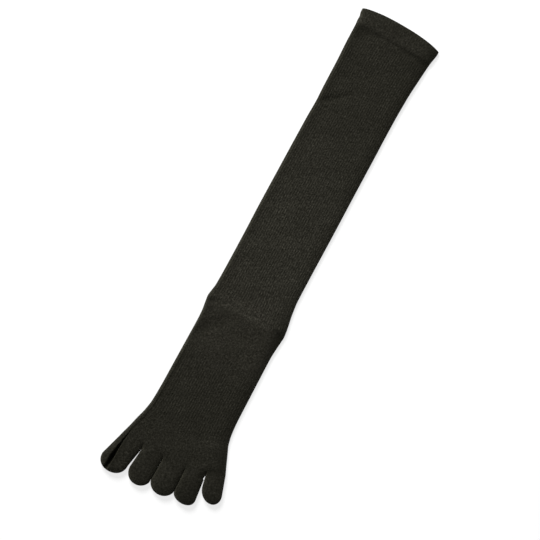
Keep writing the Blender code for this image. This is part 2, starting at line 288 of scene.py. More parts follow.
CREASES = (
    # Leg, from its left edge, with painted shade: the long crease, the hollow below the cuff and the
    # nick at the shin
    dented(SOFT, 0.30, 0.0,
        (-43, 222, 1.5, 2.4), (-38, 226, 1.9, 2.6), (-30, 231, 1.8, 2.8),
        (-23, 236.5, 1.7, 3.0), (-17, 242, 1.4, 3.4), (-13, 248, 0.9, 4.0),
        (-11, 256, 0.0, 5.0)),
    dented(SOFT, 0.10, 0.0,
        (-42, 276, 0.5, 6.0), (-20, 276, 0.6, 7.0), (10, 273, 0.0, 8.0)),
    dented(SOFT, 0.15, 0.0,
        (-43, 76, 1.3, 2.6), (-35, 75, 0.8, 3.0), (-28, 74, 0.0, 4.0)),
    # Heel, with painted shade: the hollow towards its left edge and the creases at its left and right
    # corners
    dented(SOFT, 0.12, 0.0,
        (-6, -5, 0.3, 6.0), (-20, -18, 1.2, 6.5), (-34, -33, 1.6, 6.0),
        (-39, -44, 1.2, 4.0)),
    dented(SOFT, 0.30, 0.0,
        (-43, -3.5, 2.0, 2.0), (-33, -0.8, 1.2, 2.4), (-18, 3, 0.0, 2.6)),
    dented(SOFT, 0.64, 0.6,
        (35, 2.0, 1.2, 2.6), (39.5, -1.0, 2.6, 5.0), (42, -8, 2.6, 5.4),
        (43, -18, 1.6, 4.4), (43, -30, 0.6, 3.0)),
    # Ridges: beside the heel's left corner, and with a painted highlight along the line of its crest
    # and across the ball
    dented(SOFT, 0.0, 0.0, (-34, -6, -0.6, 4.5), (-23, -11, -0.4, 4.5)),
    dented(SOFT, -0.16, 0.0,
        (-36, 4.0, -0.3, 2.6), (-25, 7.2, -0.3, 2.6), (0, 8.6, -0.2, 2.6),
        (24, 6.6, -0.2, 2.6), (33, 3.5, 0.0, 2.6)),
    dented(SOFT, -0.15, 0.0, (25, -128, -0.5, 5.0), (36, -128, -0.5, 4.5)),
    # Foot: the fold along its left edge, with painted shade
    dented(SOFT, 0.16, 1.0,
        (-36.2, -44, 0.3, 2.0), (-36.0, -75, 0.7, 2.2), (-36.2, -110, 0.8, 2.2),
        (-37.6, -126, 0.8, 2.0), (-41.4, -140, 0.9, 1.8), (-45.2, -152, 1.4, 1.5)),
    # Painted shadow under the cuff, left and right, in two creases, and painted shade in the soft
    # hollows below them
    dented(SOFT, 0.55, 2.0,
        (-41, 306.4, 1.5, 3.4), (-32, 306.6, 1.3, 3.4), (-24, 308.0, 0.8, 2.4),
        (-10, 309.4, 0.3, 1.4), (2, 309.0, 0.0, 1.2)),
    dented(SOFT, 0.45, 2.0,
        (4, 308.2, 0.0, 1.4), (16, 307.4, 0.8, 2.2), (28, 306.6, 1.3, 3.0),
        (44, 305.4, 1.8, 4.0)),
    dented(SOFT, 0.30, 0.0,
        (-38, 304, 0.8, 4.5), (-33, 300, 0.6, 4.5), (-30, 292, 0.0, 4.0)),
    dented(SOFT, 0.14, 0.0,
        (10, 304, 0.2, 7.0), (26, 300, 0.3, 9.0), (30, 288, 0.0, 9.0)),
    # Cuff: a painted highlight on its left edge and painted shade on its right one
    dented(SOFT, -0.55, 1.4, (-42.6, 314, -0.6, 1.8), (-41.6, 318.5, -0.6, 1.8)),
    dented(SOFT, 0.45, 2.0, (43.5, 311, 1.0, 2.6), (44.5, 326, 1.6, 3.4)),
    # Big toe: its deep fold, darkened with painted shade, and painted shade on the cloth to the left
    # and the right of it
    dented(STEEP, 0.85, 1.3,
        (-45.4, -151, 1.0, 0.6), (-47.2, -160, 2.4, 0.7), (-48.4, -168, 4.4, 1.0),
        (-49.4, -177, 6.6, 1.7), (-50.0, -185, 8.2, 2.4), (-50.3, -193, 7.6, 2.3),
        (-50.8, -198, 5.2, 2.1), (-51.4, -203, 3.0, 1.7)),
    dented(SOFT, 0.20, 0.0,
        (-53.5, -163, 0.1, 3.0), (-56.5, -180, 0.2, 4.0), (-57.0, -196, 0.2, 4.0)),
    dented(SOFT, 0.34, 0.0,
        (-45.4, -163, 0.1, 2.5), (-45.8, -176, 0.3, 4.0), (-46.0, -190, 0.3, 4.5),
        (-46.5, -200, 0.3, 4.5)),
    # Roots, with painted shade: across the little toe's, and between the big and the second toe
    dented(SOFT, 0.55, 1.4,
        (37.4, -160, 0.7, 2.6), (44.5, -152.0, 0.8, 2.4), (51, -148.8, 0.6, 2.4),
        (57, -147, 0.1, 2.0)),
    dented(SOFT, 0.10, 0.0, (-28.0, -156, 0.0, 2.4), (-28.0, -166, 1.0, 2.2)),
)

# Slow unevenness of the relaxed cloth, in millimetres: each wave's height, its lengths along and
# across the sock, and its phase
WAVES = table(
    "Wave", "height along across phase",
    (0.18, 61, 190, 0.4),
    (0.16, 37, -74, 1.9),
    (0.12, -23, 41, 4.1),
    (0.08, 17, 29, 2.6),
    (0.06, 11, -19, 5.3),
    (0.04, -7.3, 9.7, 0.9),
    (0.035, 5.1, -6.3, 3.7),
)

# Painted shade: how far in from the left and the right edge the knit is made darker, its darker
# rim at the left, and how high up the side a crease's painted shade reaches its full strength
LEFT_SHADE_REACH = 5.0 * MM
RIGHT_SHADE_REACH = 8.0 * MM
RIM_SHADE = 0.55
RIM = 2.2 * MM
SHADED_LIFT = 0.5

# The tube's pieces: the runs of cross lines that make each one, with their spacing, and how many
# of the outside's rings and columns there are to one of the inside's. The cuff's inside is as
# fine as its outside, and its top edge is rounded in steps.
Tube = namedtuple("Tube", "name slot runs thin_rings thin_columns")
CUFF_TOP = EDGES[-1].t * MM
TUBES = (
    Tube("Foot", "ribbed_knit", ((FLARE_END * MM, HEEL_END, 1.6 * MM),), 3, 3),
    Tube("Heel", "plain_knit", ((HEEL_END, 0, 1.3 * MM),), 4, 6),
    Tube("Leg", "ribbed_knit", (
        (0, 16 * MM, 1.0 * MM), (16 * MM, 300 * MM, 2.1 * MM), (300 * MM, LEG_TOP, 1.0 * MM)), 3, 6),
    Tube("Cuff", "welt_knit", ((LEG_TOP, CUFF_TOP, 0.75 * MM),), 1, 1),
)
WELT_STEPS = 8

# A toe pocket's rings: along its body and round its tip, which ends a little short of the apex.
# Its inside has every other ring and column, leaves out the last rings and ends in a low cone.
TOE_RINGS = 22
TIP_RINGS = 15
TIP_TURN = math.radians(84)
TOE_THIN = 2
TIP_KEPT_OUT = 3
INNER_TIP = 0.2 * MM

# Strips of the baked map, up its height, that the parts of a piece fill, and its empty margin
TUBE_BANDS = {
    "outside": (0.30, 0.99), "inside": (0.02, 0.20), "start": (0.225, 0.235), "end": (0.255, 0.265),
}
CUFF_BANDS = {"outside": (0.06, 0.99), "start": (0.02, 0.04)}
TOE_BANDS = {
    "outside": (0.30, 0.97), "tip": (0.97, 0.99), "inside": (0.02, 0.18), "inner tip": (0.18, 0.20),
    "start": (0.235, 0.245),
}
MAP_MARGIN = 0.01

Surface = namedtuple("Surface", "s t z lift")


def smooth(places, values, at):
    """A cubic curve through the values that never overshoots them."""
    places, values, at = np.asarray(places, float), np.asarray(values, float), np.asarray(at, float)
    steps = np.diff(places)
    slopes = np.diff(values) / steps
    tangents = np.zeros(len(values))
    tangents[0], tangents[-1] = slopes[0], slopes[-1]
    before, after = slopes[:-1], slopes[1:]
    same = before * after > 0
    total = np.where(same, before + after, 1.0)
    tangents[1:-1] = np.where(same, 2 * before * after / total, 0.0)
    i = np.clip(np.searchsorted(places, at) - 1, 0, len(slopes) - 1)
    x = np.clip((at - places[i]) / steps[i], 0.0, 1.0)
    rising = x * x * (3 - 2 * x)
    turn = steps[i] * (tangents[i] * x * (1 - x) ** 2 - tangents[i + 1] * x * x * (1 - x))
    return values[i] * (1 - rising) + values[i + 1] * rising + turn


def column(rows, name, at):
    """One named column of a table in millimetres, at a place in metres."""
    return smooth([r.t for r in rows], [getattr(r, name) for r in rows], np.asarray(at) / MM)


def even_steps(points, count):
    """count + 1 points spaced evenly along a line of points."""
    lengths = np.hypot(*np.diff(points, axis=0).T)
    travelled = np.concatenate(([0.0], np.cumsum(lengths)))
    at = np.linspace(0, travelled[-1], count + 1)
    return np.stack([np.interp(at, travelled, points[:, k]) for k in range(2)], axis=1)


def tube_halves(left, right, height, folds, roll):
    """The upper and the lower half of a flattened ring, each evenly spaced from left to right.
    folds says how wide the upper side turns down at its left and right edge, and roll how far its
    left edge is rolled up."""
    edge = height * SIDE_HEIGHT
    middle = edge * SIDE_MIDDLE
    turn = np.linspace(0, math.pi / 2, FOLD_POINTS)
    share = np.linspace(-1, 1, CROWN_POINTS)
    crown = edge + (height - edge) * (1 + np.cos(math.pi * share)) / 2
    flat = np.zeros(len(share))
    under = (UNDER_FOLD, UNDER_FOLD)
    halves = []
    for run, side, (fold, far_fold) in ((crown, edge - middle, folds), (flat, -middle, under)):
        low, high = left + fold, right - far_fold
        across = low + (share + 1) / 2 * (high - low)
        start = np.stack([low - fold * np.cos(turn), middle + side * np.sin(turn)], axis=1)
        end = np.stack([high + far_fold * np.cos(turn), middle + side * np.sin(turn)], axis=1)
        line = np.concatenate([start[:-1], np.stack([across, run], axis=1), end[::-1][1:]])
        raised = np.clip((line[:, 1] - middle) / (edge - middle), 0, 1)
        line[:, 1] += roll * raised * np.exp(-(((line[:, 0] - left - ROLL_INSIDE) / ROLL_REACH) ** 2))
        halves.append(even_steps(line, HALF))
    return halves, middle


def toe_shares(count):
    """Places across one toe from -1 to 1, closer together at its sides."""
    even = np.linspace(-1, 1, count + 1)
    crowded = -np.cos(np.linspace(0, math.pi, count + 1))
    return (1 - SIDE_CROWDING) * even + SIDE_CROWDING * crowded


def puffed_halves(left, right, top, middle, fullness, count):
    """The upper and the lower half of one toe's ring, from left to right."""
    x = toe_shares(count)
    s = (left + right) / 2 + (right - left) / 2 * x
    puff = np.sqrt(np.maximum(1 - np.abs(x) ** PUFF_POWER, 0))
    sole = np.sqrt(np.maximum(1 - np.abs(x) ** SOLE_POWER, 0))
    waist = WAIST * fullness
    upper = middle + waist + (top - middle - waist) * puff * fullness
    lower = middle - waist - (middle - waist) * sole * fullness
    return np.stack([s, upper], axis=1), np.stack([s, lower], axis=1)


def root_places():
    """Where the boundaries between the toes lie across the sock, fitted between its two edges."""
    left = (column(EDGES, "left", ROOTS[0].t * MM) - FUZZ) * MM
    right = (column(EDGES, "right", ROOTS[-1].t * MM) + FUZZ) * MM
    return [left + share * (right - left) for share in ROOT_SHARES]


def root_rise(share):
    """How far short of the furthest point the root line lies, at a share of the way across."""
    return smooth(ROOT_SHARES, [(r.t - FLARE_END) * MM for r in ROOTS], share)


def lobed_halves(left, right):
    """A ring at the toes' roots: five lobes side by side that share their waists."""
    places = [left + share * (right - left) for share in ROOT_SHARES]
    upper, lower = [], []
    for k, pocket in enumerate(POCKETS):
        height = pocket.root * MM
        halves = puffed_halves(places[k], places[k + 1], height, ROOT_MIDDLE, 1.0, TOE_STEPS[k])
        first = 0 if k == 0 else 1
        upper.append(halves[0][first:])
        lower.append(halves[1][first:])
    return np.concatenate(upper), np.concatenate(lower)


def crease_profile(crease, s, t, name, margin=0.0):
    """A crease's depth at each place, or where name is shade, 1 along its middle and 0 beside it."""
    line = np.zeros_like(s)
    for a, b in zip(crease.points, crease.points[1:]):
        run = np.array((b.s - a.s, b.t - a.t)) * MM
        off_s, off_t = s - a.s * MM, t - a.t * MM
        share = np.clip((off_s * run[0] + off_t * run[1]) / (run @ run), 0, 1)
        away = np.hypot(off_s - share * run[0], off_t - share * run[1])
        reach = (a.reach + (b.reach - a.reach) * share + margin) * MM
        deepest = max(abs(p.depth) for p in crease.points)
        deep = a.depth + (b.depth - a.depth) * share
        strength = deep * MM if name == "depth" else np.abs(deep) / deepest
        here = strength * np.exp(-((away / reach) ** crease.sides))
        line = np.where(np.abs(here) > np.abs(line), here, line)
    return line


def dents(s, t):
    """How far the upper side is pressed down at each place."""
    deepest, highest = np.zeros_like(s), np.zeros_like(s)
    for crease in CREASES:
        line = crease_profile(crease, s, t, "depth")
        deepest, highest = np.maximum(deepest, line), np.minimum(highest, line)
    return deepest + highest


def unevenness(s, t):
    """The height of the slow waves at each place."""
    height = np.zeros_like(s)
    for wave in WAVES:
        turn = 2 * math.pi * (t / wave.along + s / wave.across) / MM + wave.phase
        height += wave.height * MM * np.sin(turn)
    return height


def shaped(surface):
    """The surface with its creases and unevenness, which fade out down the sides."""
    change = unevenness(surface.s, surface.t) - dents(surface.s, surface.t)
    return surface._replace(z=surface.z + surface.lift * change)


def tube_surface(stations):
    """The sock's tube at cross lines whose corners are at the given places along it."""
    rings = []
    for t in stations:
        flare = np.clip((t / MM - FLARE_START) / (FLARE_END - FLARE_START), 0, 1)
        left = (column(EDGES, "left", t + flare * root_rise(0.0)) - FUZZ) * MM
        right = (column(EDGES, "right", t + flare * root_rise(1.0)) + FUZZ) * MM
        height = column(LINES, "height", t) * MM
        folds = [column(FOLDS, side, t) * MM for side in ("left", "right")]
        (upper, lower), middle = tube_halves(left, right, height, folds, column(FOLDS, "roll", t) * MM)
        pinch = column(PINCHES, "share", t) if t < PINCHES[-1].t * MM else 0.0
        if pinch > 0:
            lobes = lobed_halves(left, right)
            upper = upper * (1 - pinch) + lobes[0] * pinch
            lower = lower * (1 - pinch) + lobes[1] * pinch
            middle = middle * (1 - pinch) + ROOT_MIDDLE * pinch
        s, z = np.concatenate([upper, lower[::-1]]).T
        share = np.clip((s - left) / (right - left), 0, 1)
        bow = column(LINES, "bow", t) * MM * (1 - np.abs(2 * share - 1) ** BOW_POWER)
        bow += column(LINES, "tilt", t) * MM * (1 - 2 * share)
        lift = np.clip((z - middle) / (height - middle), 0, 1)
        lift[HALF + 1 :] = 0
        rings.append(Surface(s, t + bow + flare * root_rise(share), z, lift))
    return Surface(*[np.array(a) for a in zip(*rings)])


def ribbed(surface, strength):
    """The surface with its ribs: each point moves along the ring's own normal. strength has one
    value for each ring."""
    ds = np.roll(surface.s, -1, axis=1) - np.roll(surface.s, 1, axis=1)
    dz = np.roll(surface.z, -1, axis=1) - np.roll(surface.z, 1, axis=1)
    length = np.maximum(np.hypot(ds, dz), SHORTEST)
    index = np.arange(surface.s.shape[1])
    upper_index = np.where(index <= HALF, index, 2 * HALF + 1 - index)
    turn = 2 * math.pi * upper_index / RIB_POINTS
    wave = np.cos(turn) + RIB_SHARPNESS * np.cos(2 * turn)
    out = strength[:, None] * RIB_DEPTH * wave[None, :]
    s = surface.s - dz / length * out
    z = np.maximum(surface.z + ds / length * out, 0.0)
    return surface._replace(s=s, z=z)


def inset(surface, wall):
    """The inside of the knit: the surface drawn in by the wall's thickness."""
    rings = []
    for s, z in zip(surface.s, surface.z):
        half = len(s) // 2
        middle = (z[0] + z[-1]) / 2
        centre, reach = (s.min() + s.max()) / 2, (s.max() - s.min()) / 2
        new_s = centre + (s - centre) * (1 - wall / reach)
        up, down = z.max() - middle, middle - z.min()
        least = wall * INSIDE_ROOM
        share = np.where(z > middle, wall / max(up, least), wall / max(down, least))
        new_z = middle + (z - middle) * (1 - np.minimum(share, INSIDE_MOST))
        order = np.argsort(s[:half])
        ceiling = np.interp(new_s[:half], s[:half][order], z[:half][order]) - wall * INSIDE_DEPTH
        under = np.argsort(new_s[half:])
        sole = np.interp(new_s[:half], new_s[half:][under], new_z[half:][under])
        new_z[:half] = np.maximum(np.minimum(new_z[:half], ceiling), sole + INSIDE_GAP)
        rings.append((new_s, new_z))
    s, z = (np.array(a) for a in zip(*rings))
    return surface._replace(s=s, z=z)


def ring_edges(count, columns):
    """Which columns of a ring are kept when it is thinned, the ends of both halves among them."""
    half = count // 2
    upper = sorted(set(range(0, half, columns)) | {half - 1})
    return upper + sorted(count - 1 - i for i in upper)


def points_of(surface):
    """The surface's points in the model's own frame."""
    x, y = surface.s + ORIGIN_X, surface.t + ORIGIN_Y
    return np.stack([x, y, surface.z], axis=-1)


def loop_faces(first, second, fine, coarse):
    """Faces between a fine ring and a coarse one whose points lie beside every so many of its own.
    coarse holds the fine ring's index of each coarse point."""
    faces = []
    size = len(coarse)
    for j in range(size):
        a, b = coarse[j], coarse[(j + 1) % size]
        run = list(range(a, b + 1)) if b > a else [*range(a, fine), *range(b + 1)]
        faces.append([first + i for i in run] + [second + (j + 1) % size, second + j])
    return faces


def map_across(share):
    """A place across the baked map, at a share of the way between its margins."""
    return MAP_MARGIN + (1 - 2 * MAP_MARGIN) * share


class Sheet:
    """The vertices, faces and map places of one knitted piece while it is put together."""

    def __init__(self):
        self.points, self.faces, self.knit, self.bake = [], [], [], []
        self.sharp = set()
        self.total = 0

    def add_points(self, points):
        """Adds points and gives the index of the first."""
        first = self.total
        flat = points.reshape(-1, 3)
        self.points.append(flat)
        self.total += len(flat)
        return first

    def add_face(self, corners, knit, bake):
        """Adds a face with its corners' places on both maps."""
        self.faces.append(corners)
        self.knit += knit
        self.bake += bake

    def add_grid(self, first, rings, size, knit_u, knit_v, band, flipped=False):
        """Quads between neighbouring rings. band is the strip of the baked map that they fill."""
        low, high = band
        for r in range(rings - 1):
            va, vb = (low + (high - low) * (r + k) / (rings - 1) for k in (0, 1))
            for i in range(size):
                j = (i + 1) % size
                corners = [(r, i, i), (r, j, i + 1), (r + 1, j, i + 1), (r + 1, i, i)]
                if not flipped:
                    corners = corners[::-1]
                face = [first + ring * size + at for ring, at, _ in corners]
                knit = [(knit_u[k], knit_v[ring]) for ring, _, k in corners]
                bake = [(map_across(k / size), va if ring == r else vb) for ring, _, k in corners]
                self.add_face(face, knit, bake)

    def add_rim(self, first, second, fine, coarse, knit_u, knit_v, band, flipped=False):
        """Faces that close the knit between the outside's end ring and the inside's."""
        low, high = band
        for face in loop_faces(first, second, fine, coarse):
            knit, bake = [], []
            fine_count = len(face) - 2
            start = coarse[face[-1] - second]
            around = [(n, low) for n in range(fine_count)] + [(fine_count - 1, high), (0, high)]
            for n, up in around:
                knit.append((knit_u[start + n], knit_v))
                bake.append((map_across((start + n) / fine), up))
            if not flipped:
                face, knit, bake = face[::-1], knit[::-1], bake[::-1]
            self.add_face(face, knit, bake)

    def add_tip(self, first, size, apex, knit_u, knit_v, band, flipped=False):
        """Triangles from a toe's last ring to its apex."""
        low, high = band
        for i in range(size):
            face = [first + i, first + (i + 1) % size, apex]
            knit = [(knit_u[i], knit_v), (knit_u[i + 1], knit_v), (knit_u[i], knit_v)]
            bake = [(map_across((i + k) / size), v) for k, v in ((0, low), (1, low), (0.5, high))]
            if not flipped:
                face, knit, bake = face[::-1], knit[::-1], bake[::-1]
            self.add_face(face, knit, bake)

    def piece(self, name, attributes, material):
        """The finished object, with both maps, its looks at each point and sharp outer rims."""
        mesh = bpy.data.meshes.new(name)
        points = np.concatenate(self.points).astype(np.float32)
        sizes = np.array([len(f) for f in self.faces], np.int32)
        corners = np.fromiter((v for f in self.faces for v in f), np.int32)
        mesh.vertices.add(len(points))
        mesh.vertices.foreach_set("co", points.ravel())
        mesh.loops.add(len(corners))
        mesh.loops.foreach_set("vertex_index", corners)
        mesh.polygons.add(len(sizes))
        mesh.polygons.foreach_set("loop_start", np.cumsum(sizes, dtype=np.int32) - sizes)
        mesh.update(calc_edges=True)
        for layer, values in (("OFBake", self.bake), ("Knit", self.knit)):
            uv = mesh.uv_layers.new(name=layer)
            uv.data.foreach_set("uv", np.array(values, np.float32).ravel())
        for key, values in attributes.items():
            attribute = mesh.attributes.new(key, "FLOAT", "POINT")
            attribute.data.foreach_set("value", np.asarray(values, np.float32))
        mesh.shade_smooth()
        rim = mesh.attributes.new("sharp_edge", "BOOLEAN", "EDGE")
        ends = np.empty(len(mesh.edges) * 2, np.int32)
        mesh.edges.foreach_get("vertices", ends)
        ends = ends.reshape(-1, 2)
        flags = np.zeros(len(ends), bool)
        for low, high in self.sharp:
            flags |= ((ends >= low) & (ends < high)).all(axis=1)
        rim.data.foreach_set("value", flags)
        mesh.materials.append(material)
        mesh.validate()
        return linked(bpy.data.objects.new(name, mesh))


def left_by(shade, away, reach):
    """What a painted shade leaves of the colour at a distance from where it is full."""
    return 1 - shade * np.exp(-((away / reach) ** 2))


def painted_shading_of(surface, edged=True):
    """The painted light and shade at each point: slow changes along the sock, painted shade in its
    creases and beside its edges, and painted highlights on some ridges.
    """
    tone = column(LINES, "tone", np.clip(surface.t, LINES[0].t * MM, LINES[-1].t * MM))
    # Painted shade in the creases, and a painted highlight where a crease's shade is negative
    for crease in CREASES:
        if crease.shade:
            painted_shade_share = crease_profile(crease, surface.s, surface.t, "shade", crease.margin)
            tone = tone * (1 - crease.shade * painted_shade_share * np.minimum(surface.lift / SHADED_LIFT, 1))
    # Painted shade beside both edges and along the left rim, and a painted highlight at the cuff's
    # left edge
    if edged:
        from_left = surface.s - surface.s.min(axis=1, keepdims=True)
        from_right = surface.s.max(axis=1, keepdims=True) - surface.s
        at = np.clip(surface.t, FOLDS[0].t * MM, FOLDS[-1].t * MM)
        left_shade, right_shade = column(FOLDS, "left_shade", at), column(FOLDS, "right_shade", at)
        tone = tone * left_by(RIM_SHADE, from_left, RIM)
        tone = tone * left_by(left_shade, from_left, LEFT_SHADE_REACH)
        tone = tone * left_by(right_shade, from_right, RIGHT_SHADE_REACH)
    return tone.ravel()


def travelled(surface):
    """How far along the knit each ring lies, down its middle wale, in courses."""
    middle_wale = surface.s.shape[1] // 4
    steps = np.diff(np.stack([surface.s, surface.t, surface.z])[:, :, middle_wale], axis=1)
    return np.concatenate(([0.0], np.cumsum(np.sqrt((steps**2).sum(axis=0))))) / COURSE


def wales(size, start=0.0):
    """The knit's place across, in ribs, at each column of a ring and once more past the last."""
    half = size // 2
    upper = start + np.arange(half) / RIB_POINTS
    lower = upper[-1] + np.arange(half + 1) / RIB_POINTS
    return np.concatenate([upper, lower])


def thinned(surface, rows, columns):
    """The surface with only some of its rings and columns."""
    return Surface(*[a[np.ix_(rows, columns)] for a in surface])


def lined(sheet, outer, inner, rows, columns, u, v, bands, flipped):
    """Adds an outside and its coarser inside, joined by a rim at their first rings. It gives where
    the outside's last ring, the inside and the inside's last ring begin."""
    rings, size = outer.s.shape
    first, second = sheet.add_points(points_of(outer)), sheet.add_points(points_of(inner))
    inner_u = np.append(u[columns], u[-1])
    sheet.add_grid(first, rings, size, u, v, bands["outside"], flipped)
    sheet.add_grid(second, len(rows), len(columns), inner_u, v[rows], bands["inside"], not flipped)
    sheet.add_rim(first, second, size, columns, u, v[0], bands["start"], not flipped)
    sheet.sharp |= {(first, first + size)}
    return first + (rings - 1) * size, second, second + (len(rows) - 1) * len(columns)


def tube_piece(tube, surface, strength, material):
    """A length of the tube with its inside, closed at both ends against its neighbours."""
    outer = ribbed(surface, strength)
    rings, size = outer.s.shape
    rows = sorted(set(range(0, rings, tube.thin_rings)) | {rings - 1})
    columns = ring_edges(size, tube.thin_columns)
    inner = thinned(inset(surface, WALL), rows, columns)
    sheet = Sheet()
    u, v = wales(size), travelled(surface)
    last, _, last_inner = lined(sheet, outer, inner, rows, columns, u, v, TUBE_BANDS, True)
    sheet.add_rim(last, last_inner, size, columns, u, v[-1], TUBE_BANDS["end"], True)
    sheet.sharp |= {(last, last + size)}
    # The outside carries painted light and shade; the inside carries none
    looks = {
        "ribs": np.concatenate([np.repeat(strength, size), np.zeros(inner.s.size)]),
        "tone": np.concatenate([painted_shading_of(surface), np.ones(inner.s.size)]),
    }
    return sheet.piece(tube.name, looks, material)


def cuff_piece(tube, surface, strength, material):
    """The turned welt: the outside rolls over the top edge and runs down inside."""
    outer = ribbed(surface, strength)
    rings, size = outer.s.shape
    parts = [outer]
    top = Surface(*[a[-1:] for a in surface])
    for turn in np.linspace(0, math.pi, WELT_STEPS + 1)[1:-1]:
        ring = inset(top, WELT_WALL / 2 * (1 - math.cos(turn)))
        ring = ring._replace(t=ring.t + WELT_WALL / 2 * math.sin(turn))
        fading = np.array([strength[-1] * (1 + math.cos(turn)) / 2])
        parts.append(ribbed(ring, fading))
    parts.append(inset(Surface(*[a[::-1] for a in surface]), WELT_WALL))
    whole = Surface(*[np.concatenate(a) for a in zip(*parts)])
    sheet = Sheet()
    total = whole.s.shape[0]
    u, v = wales(size), travelled(whole)
    first = sheet.add_points(points_of(whole))
    last = first + (total - 1) * size
    sheet.add_grid(first, total, size, u, v, CUFF_BANDS["outside"], flipped=True)
    sheet.add_rim(first, last, size, list(range(size)), u, v[0], CUFF_BANDS["start"])
    sheet.sharp |= {(first, first + size), (last, last + size)}
    faded = np.zeros(total)
    faded[:rings] = strength
    # The whole welt carries painted light and shade
    looks = {"ribs": np.repeat(faded, size), "tone": painted_shading_of(whole)}
    return sheet.piece(tube.name, looks, material)


def touch_line(k, t):
    """Where a toe presses on the next one across the sock, at a place along it."""
    root, touch = ROOTS[k + 1], TOUCHES[k]
    share = (t - root.t * MM) / ((touch.t - root.t) * MM)
    return (root.s + (touch.s - root.s) * share) * MM


def toe_edge(edge, root, root_s, body_t, t):
    """One edge of a toe's body at a place along it, on a straight line from its root."""
    share = np.clip((t - root.t * MM) / (body_t - root.t * MM), 0, 1)
    return root_s + (edge * MM - root_s) * share


def parted(k, t, left, right, body):
    """A toe's two edges, kept off the lines where its neighbours press on it."""
    gap = TOUCH_GAP * min(body / PARTING, 1) / 2
    if k > 0 and t[0] > TOUCHES[k - 1].t * MM:
        left = max(left, touch_line(k - 1, t[0]) + gap)
    if k < len(TOUCHES) and t[-1] > TOUCHES[k].t * MM:
        right = min(right, touch_line(k, t[-1]) - gap)
    return left, right


def pocket_surface(k, stations):
    """One toe pocket. stations run from 0 at its root through 1, where the tip begins, to 2."""
    pocket = POCKETS[k]
    count = TOE_STEPS[k]
    low, high = ROOTS[k], ROOTS[k + 1]
    places = root_places()
    low_s, high_s = places[k], places[k + 1]
    root_t = (low.t + high.t) / 2 * MM
    body_t, tip_t = pocket.body_t * MM, pocket.tip_t * MM
    across = low_s + (high_s - low_s) * (toe_shares(count) + 1) / 2
    rise = FLARE_END * MM + root_rise((across - places[0]) / (places[-1] - places[0])) - root_t
    centre_body = (pocket.left + pocket.right) / 2 * MM
    half_body = (pocket.right - pocket.left) / 2 * MM
    rings = []
    for at in stations:
        body = min(at, 1.0)
        tip = max(at - 1.0, 0.0)
        fade = max(1 - body / ROOT_FADE, 0.0)
        t = root_t + (body_t - root_t) * body + (tip_t - body_t) * tip + rise * fade
        if tip > 0:
            centre = centre_body + (pocket.tip_s * MM - centre_body) * tip
            half = half_body * math.sqrt(max(1 - tip**pocket.power, 0))
            left, right = centre - half, centre + half
        else:
            left = toe_edge(pocket.left, low, low_s, body_t, t[0])
            right = toe_edge(pocket.right, high, high_s, body_t, t[-1])
        left, right = parted(k, t, left, right, body)
        fullness = math.sqrt(max(1 - tip**TIP_POWER, 0))
        top = (pocket.root + (pocket.height - pocket.root) * smooth(*TOE_RISE, body)) * MM
        middle = ROOT_MIDDLE + (top * TOE_MIDDLE - ROOT_MIDDLE) * body
        upper, lower = puffed_halves(left, right, top, middle, fullness, count)
        s, z = np.concatenate([upper, lower[::-1]]).T
        lift = np.clip((z - middle) / (max(top, LINES[0].height * MM) - middle), 0, 1)
        lift[count + 1 :] = 0
        rings.append(Surface(s, np.concatenate([t, t[::-1]]), z, lift))
    return Surface(*[np.array(a) for a in zip(*rings)])


def toe_painted_shading(pocket, surface, stations):
    """A toe's own painted light and shade, with painted shade on its right flank and at its tip, which
    sets in past its root.
    """
    set_in = smooth(*TOE_SET_IN, stations)[:, None]
    from_right = surface.s.max(axis=1, keepdims=True) - surface.s
    from_tip = surface.t - pocket.tip_t * MM
    tone = pocket.tone * left_by(FLANK_SHADE, from_right, FLANK) * left_by(TIP_SHADE, from_tip, TIP)
    return (1 + (tone - 1) * set_in).ravel()


def toe_inside(surface):
    """The inside of a toe, a wall's thickness shorter, and the rings and columns that it has."""
    rings, size = surface.s.shape
    rows = list(range(0, rings - TIP_KEPT_OUT, TOE_THIN))
    columns = ring_edges(size, TOE_THIN)
    inner = thinned(inset(surface, WALL), rows, columns)
    root_t, end_t = surface.t[0].mean(), surface.t[-1].mean()
    inner = inner._replace(t=root_t + (inner.t - root_t) * (1 - WALL / abs(end_t - root_t)))
    inner.t[0] = surface.t[0][columns]
    return inner, rows, columns


def toe_piece(k, name, material):
    """A toe pocket: its outside, its inside and the line that it shares with the foot."""
    pocket = POCKETS[k]
    tip = 1 + np.sin(np.linspace(0, TIP_TURN, TIP_RINGS))[1:]
    stations = np.concatenate([np.linspace(0, 1, TOE_RINGS), tip])
    surface = shaped(pocket_surface(k, stations))
    inner, rows, columns = toe_inside(surface)
    size = surface.s.shape[1]
    u, v = wales(size, sum(TOE_STEPS[:k]) / RIB_POINTS), travelled(surface)
    inner_u = np.append(u[columns], u[-1])
    end = points_of(surface)[-1].mean(axis=0)
    end[1] = pocket.tip_t * MM + ORIGIN_Y
    inner_end = points_of(inner)[-1].mean(axis=0)
    inner_end[1] -= INNER_TIP
    sheet = Sheet()
    last, second, last_inner = lined(sheet, surface, inner, rows, columns, u, v, TOE_BANDS, False)
    apex, inner_apex = sheet.add_points(end), sheet.add_points(inner_end)
    sheet.add_tip(last, size, apex, u, v[-1], TOE_BANDS["tip"])
    inner_v, band = v[rows[-1]], TOE_BANDS["inner tip"]
    sheet.add_tip(last_inner, len(columns), inner_apex, inner_u, inner_v, band, True)
    # The toe's outside carries painted light and shade; its inside and inner tip carry none
    tone = np.ones(sheet.total)
    tone[:second] = painted_shading_of(surface, edged=False) * toe_painted_shading(pocket, surface, stations)
    tone[apex] = tone[second - 1]
    return sheet.piece(name, {"ribs": np.zeros(sheet.total), "tone": tone}, material)


